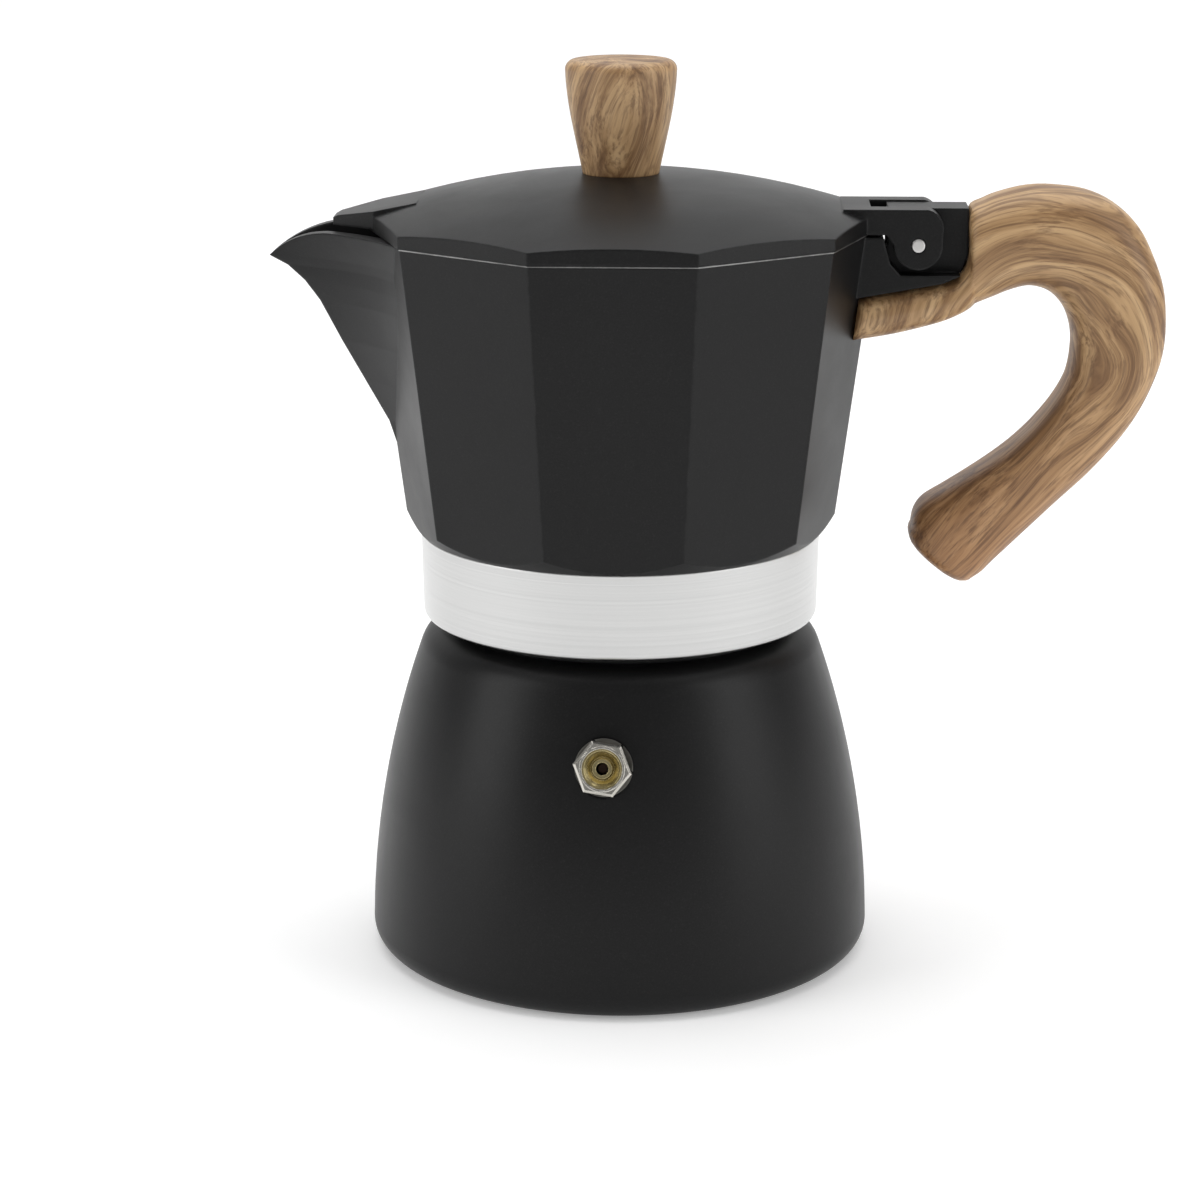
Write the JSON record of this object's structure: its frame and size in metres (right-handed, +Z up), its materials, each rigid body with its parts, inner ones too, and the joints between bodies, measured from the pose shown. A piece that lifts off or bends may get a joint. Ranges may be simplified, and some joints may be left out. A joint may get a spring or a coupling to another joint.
{
  "type": "moka pot",
  "caption": "Stovetop coffee maker: round boiler with pressure valve, ten-sided upper pot with spout, hinged faceted lid and wood-grain handle and knob.",
  "frame": {"origin": "centre of the boiler's flat base, on the surface it stands on", "axes": "+Z up along the pot's axis, +X towards the handle and the lid's hinge, -X towards the spout, -Y towards the side with the pressure valve"},
  "size_m": [0.1388, 0.0798, 0.1416],
  "materials": {
    "black_paint": "satin black enamel over cast aluminium",
    "satin_aluminium": "turned satin aluminium",
    "seal_rubber": "matt pale rubber",
    "valve_brass": "machined brass",
    "valve_plated": "nickel-plated brass",
    "spring_steel": "plain bright steel",
    "woodgrain": "wood-grain heat-proof plastic, semi-matt"
  },
  "bodies": {
    "boiler": {"boiler": "black_paint", "valve_body": "valve_plated", "valve_washer": "valve_plated", "valve_cap": "valve_brass", "valve_spring": "spring_steel"},
    "poppet": {"valve_poppet": "valve_brass"},
    "funnel": {"funnel": "satin_aluminium", "funnel_strainer": "satin_aluminium"},
    "seal": {"gasket": "seal_rubber", "filter_plate": "satin_aluminium"},
    "pot": {"upper_pot": "black_paint", "threaded_collar": "satin_aluminium", "coffee_column": "satin_aluminium", "handle": "woodgrain", "handle_screw": "spring_steel", "hinge_pin": "spring_steel"},
    "lid": {"lid": "black_paint", "lid_knob": "woodgrain", "knob_screw": "spring_steel", "knob_washer": "spring_steel"}
  },
  "joints": [
    {"name": "lift_off", "type": "slide", "parent": "boiler", "child": "seal", "axis": [0, 0, 1], "range_m": [0, 0.12]},
    {"name": "unscrew", "type": "hinge", "parent": "seal", "child": "pot", "pos_m": [0, 0, 0], "axis": [0, 0, 1], "range_deg": [0, 810]},
    {"name": "funnel_lift", "type": "slide", "parent": "boiler", "child": "funnel", "axis": [0, 0, 1], "range_m": [0, 0.06]},
    {"name": "lid_hinge", "type": "hinge", "parent": "pot", "child": "lid", "pos_m": [0.0455, 0, 0.114], "axis": [0, 1, 0], "range_deg": [0, 100]},
    {"name": "valve_vent", "type": "slide", "parent": "boiler", "child": "poppet", "axis": [-0.0372, -0.9674, 0.2504], "range_m": [0, 0.001], "stiffness_N_per_m": 2500, "springref_m": -0.0012, "deforming": ["valve_spring"]}
  ],
  "couplings": [
    {"joint": "funnel_lift", "follows": "lift_off", "ratio": 0.5}
  ]
}
